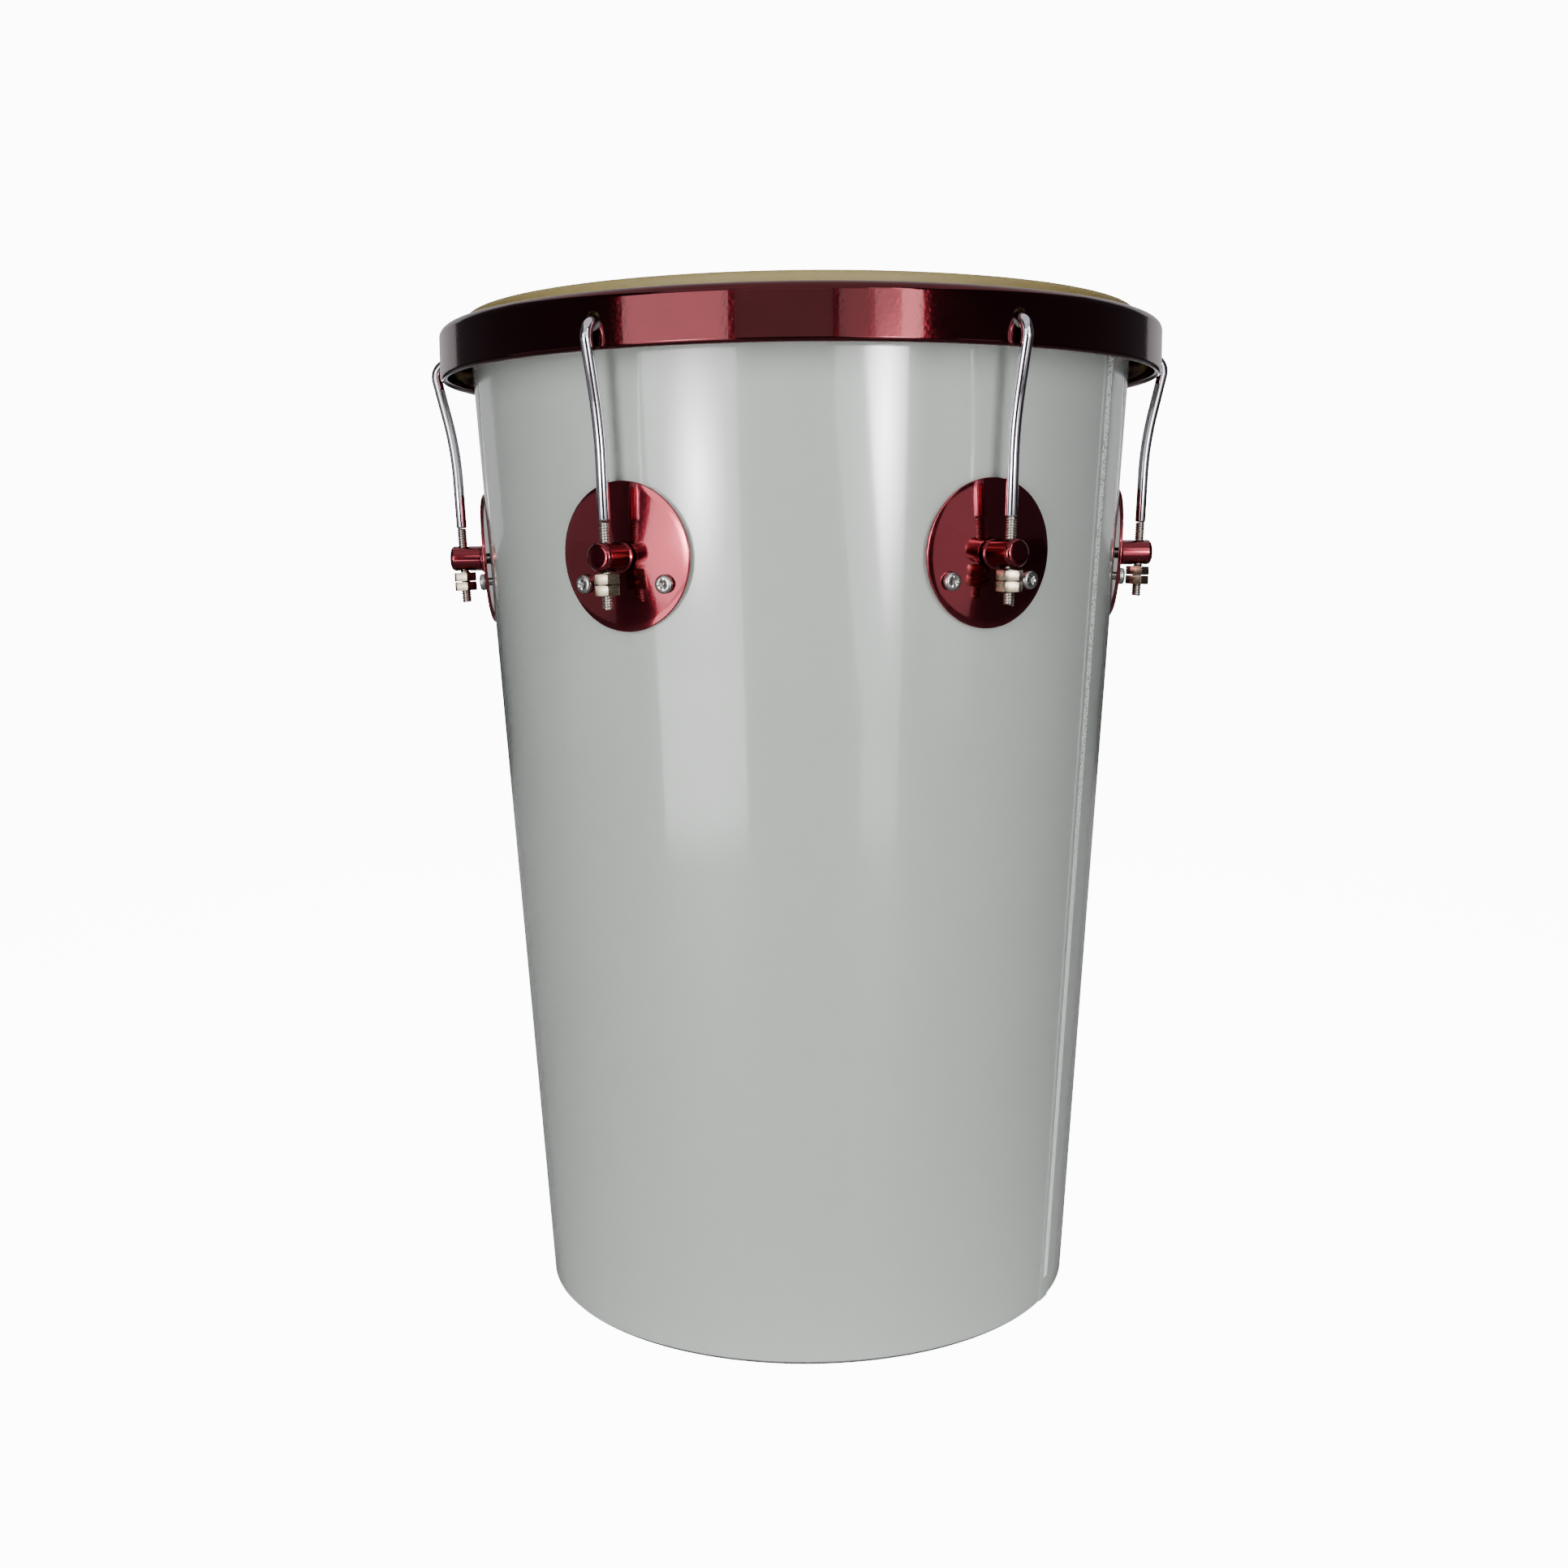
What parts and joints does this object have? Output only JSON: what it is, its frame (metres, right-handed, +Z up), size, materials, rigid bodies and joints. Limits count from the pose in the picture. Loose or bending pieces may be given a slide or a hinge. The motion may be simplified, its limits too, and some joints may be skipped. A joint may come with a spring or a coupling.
{
  "type": "rebolo drum",
  "caption": "Conical single-headed samba hand drum: natural skin under a folded red hoop, drawn down by hook rods and nuts on round lug plates, over a pale laminate shell open below.",
  "frame": {"origin": "middle of the open lower end, on the plane that the drum stands on", "axes": "+Z up the drum's axis towards the head, -Y to the front of the pictured side, +X to its right"},
  "size_m": [0.3422, 0.329, 0.4499],
  "materials": {
    "bare_aluminium": "bare rolled sheet, satin",
    "grey_laminate": "pale grey glossy laminate",
    "natural_skin": "natural hide, dry and matt",
    "ring_metal": "drawn steel ring",
    "red_hoop": "deep red candy lacquer over plating",
    "red_plate": "deep red candy lacquer over plating",
    "red_barrel": "deep red candy lacquer over plating",
    "zinc_bolt": "zinc plated",
    "chrome_rod": "bright chrome",
    "nickel_nut": "bright nickel",
    "zinc_screw": "bright zinc"
  },
  "bodies": {
    "shell": {"shell_tube": "bare_aluminium", "shell_wrap": "grey_laminate", "lug_plate_1": "red_plate", "lug_plate_2": "red_plate", "lug_plate_3": "red_plate", "lug_plate_4": "red_plate", "lug_plate_5": "red_plate", "lug_plate_6": "red_plate", "lug_barrel_1": "red_barrel", "lug_barrel_2": "red_barrel", "lug_barrel_3": "red_barrel", "lug_barrel_4": "red_barrel", "lug_barrel_5": "red_barrel", "lug_barrel_6": "red_barrel", "barrel_bolt_1": "zinc_bolt", "barrel_bolt_2": "zinc_bolt", "barrel_bolt_3": "zinc_bolt", "barrel_bolt_4": "zinc_bolt", "barrel_bolt_5": "zinc_bolt", "barrel_bolt_6": "zinc_bolt", "plate_screw_left_1": "zinc_screw", "plate_screw_left_2": "zinc_screw", "plate_screw_left_3": "zinc_screw", "plate_screw_left_4": "zinc_screw", "plate_screw_left_5": "zinc_screw", "plate_screw_left_6": "zinc_screw", "plate_screw_right_1": "zinc_screw", "plate_screw_right_2": "zinc_screw", "plate_screw_right_3": "zinc_screw", "plate_screw_right_4": "zinc_screw", "plate_screw_right_5": "zinc_screw", "plate_screw_right_6": "zinc_screw"},
    "head": {"head_skin": "natural_skin", "flesh_hoop": "ring_metal", "tension_hoop": "red_hoop"},
    "hook_1": {"hook_rod_1": "chrome_rod"},
    "tuning_nut_1": {"tuning_nut_1": "nickel_nut"},
    "lock_nut_1": {"lock_nut_1": "nickel_nut"},
    "hook_2": {"hook_rod_2": "chrome_rod"},
    "tuning_nut_2": {"tuning_nut_2": "nickel_nut"},
    "lock_nut_2": {"lock_nut_2": "nickel_nut"},
    "hook_3": {"hook_rod_3": "chrome_rod"},
    "tuning_nut_3": {"tuning_nut_3": "nickel_nut"},
    "lock_nut_3": {"lock_nut_3": "nickel_nut"},
    "hook_4": {"hook_rod_4": "chrome_rod"},
    "tuning_nut_4": {"tuning_nut_4": "nickel_nut"},
    "lock_nut_4": {"lock_nut_4": "nickel_nut"},
    "hook_5": {"hook_rod_5": "chrome_rod"},
    "tuning_nut_5": {"tuning_nut_5": "nickel_nut"},
    "lock_nut_5": {"lock_nut_5": "nickel_nut"},
    "hook_6": {"hook_rod_6": "chrome_rod"},
    "tuning_nut_6": {"tuning_nut_6": "nickel_nut"},
    "lock_nut_6": {"lock_nut_6": "nickel_nut"}
  },
  "joints": [
    {"name": "head_lift", "type": "slide", "parent": "shell", "child": "head", "axis": [0, 0, 1], "range_m": [0, 0.005]},
    {"name": "hook_1_slide", "type": "slide", "parent": "shell", "child": "hook_1", "axis": [-0.0218, -0.0378, 0.999], "range_m": [0, 0.0051]},
    {"name": "tuning_nut_1_turn", "type": "hinge", "parent": "shell", "child": "tuning_nut_1", "pos_m": [-0.07928, -0.13732, 0.33444], "axis": [-0.0218, -0.0378, 0.999], "range_deg": [-1705, 0]},
    {"name": "lock_nut_1_turn", "type": "hinge", "parent": "shell", "child": "lock_nut_1", "pos_m": [-0.07919, -0.13715, 0.33005], "axis": [-0.0218, -0.0378, 0.999], "range_deg": [-1705, 0]},
    {"name": "hook_2_slide", "type": "slide", "parent": "shell", "child": "hook_2", "axis": [0.0218, -0.0378, 0.999], "range_m": [0, 0.0051]},
    {"name": "tuning_nut_2_turn", "type": "hinge", "parent": "shell", "child": "tuning_nut_2", "pos_m": [0.07928, -0.13732, 0.33444], "axis": [0.0218, -0.0378, 0.999], "range_deg": [-1705, 0]},
    {"name": "lock_nut_2_turn", "type": "hinge", "parent": "shell", "child": "lock_nut_2", "pos_m": [0.07919, -0.13715, 0.33005], "axis": [0.0218, -0.0378, 0.999], "range_deg": [-1705, 0]},
    {"name": "hook_3_slide", "type": "slide", "parent": "shell", "child": "hook_3", "axis": [0.0436, 0, 0.999], "range_m": [0, 0.0051]},
    {"name": "tuning_nut_3_turn", "type": "hinge", "parent": "shell", "child": "tuning_nut_3", "pos_m": [0.15856, 0, 0.33444], "axis": [0.0436, 0, 0.999], "range_deg": [-1705, 0]},
    {"name": "lock_nut_3_turn", "type": "hinge", "parent": "shell", "child": "lock_nut_3", "pos_m": [0.15837, 0, 0.33005], "axis": [0.0436, 0, 0.999], "range_deg": [-1705, 0]},
    {"name": "hook_4_slide", "type": "slide", "parent": "shell", "child": "hook_4", "axis": [0.0218, 0.0378, 0.999], "range_m": [0, 0.0051]},
    {"name": "tuning_nut_4_turn", "type": "hinge", "parent": "shell", "child": "tuning_nut_4", "pos_m": [0.07928, 0.13732, 0.33444], "axis": [0.0218, 0.0378, 0.999], "range_deg": [-1705, 0]},
    {"name": "lock_nut_4_turn", "type": "hinge", "parent": "shell", "child": "lock_nut_4", "pos_m": [0.07919, 0.13715, 0.33005], "axis": [0.0218, 0.0378, 0.999], "range_deg": [-1705, 0]},
    {"name": "hook_5_slide", "type": "slide", "parent": "shell", "child": "hook_5", "axis": [-0.0218, 0.0378, 0.999], "range_m": [0, 0.0051]},
    {"name": "tuning_nut_5_turn", "type": "hinge", "parent": "shell", "child": "tuning_nut_5", "pos_m": [-0.07928, 0.13732, 0.33444], "axis": [-0.0218, 0.0378, 0.999], "range_deg": [-1705, 0]},
    {"name": "lock_nut_5_turn", "type": "hinge", "parent": "shell", "child": "lock_nut_5", "pos_m": [-0.07919, 0.13715, 0.33005], "axis": [-0.0218, 0.0378, 0.999], "range_deg": [-1705, 0]},
    {"name": "hook_6_slide", "type": "slide", "parent": "shell", "child": "hook_6", "axis": [-0.0436, 0, 0.999], "range_m": [0, 0.0051]},
    {"name": "tuning_nut_6_turn", "type": "hinge", "parent": "shell", "child": "tuning_nut_6", "pos_m": [-0.15856, 0, 0.33444], "axis": [-0.0436, 0, 0.999], "range_deg": [-1705, 0]},
    {"name": "lock_nut_6_turn", "type": "hinge", "parent": "shell", "child": "lock_nut_6", "pos_m": [-0.15837, 0, 0.33005], "axis": [-0.0436, 0, 0.999], "range_deg": [-1705, 0]}
  ],
  "couplings": [
    {"joint": "hook_1_slide", "follows": "head_lift", "ratio": 1.001},
    {"joint": "tuning_nut_1_turn", "follows": "head_lift", "rad_per_m": -5936.9},
    {"joint": "lock_nut_1_turn", "follows": "head_lift", "rad_per_m": -5936.9},
    {"joint": "hook_2_slide", "follows": "head_lift", "ratio": 1.001},
    {"joint": "tuning_nut_2_turn", "follows": "head_lift", "rad_per_m": -5936.9},
    {"joint": "lock_nut_2_turn", "follows": "head_lift", "rad_per_m": -5936.9},
    {"joint": "hook_3_slide", "follows": "head_lift", "ratio": 1.001},
    {"joint": "tuning_nut_3_turn", "follows": "head_lift", "rad_per_m": -5936.9},
    {"joint": "lock_nut_3_turn", "follows": "head_lift", "rad_per_m": -5936.9},
    {"joint": "hook_4_slide", "follows": "head_lift", "ratio": 1.001},
    {"joint": "tuning_nut_4_turn", "follows": "head_lift", "rad_per_m": -5936.9},
    {"joint": "lock_nut_4_turn", "follows": "head_lift", "rad_per_m": -5936.9},
    {"joint": "hook_5_slide", "follows": "head_lift", "ratio": 1.001},
    {"joint": "tuning_nut_5_turn", "follows": "head_lift", "rad_per_m": -5936.9},
    {"joint": "lock_nut_5_turn", "follows": "head_lift", "rad_per_m": -5936.9},
    {"joint": "hook_6_slide", "follows": "head_lift", "ratio": 1.001},
    {"joint": "tuning_nut_6_turn", "follows": "head_lift", "rad_per_m": -5936.9},
    {"joint": "lock_nut_6_turn", "follows": "head_lift", "rad_per_m": -5936.9}
  ]
}
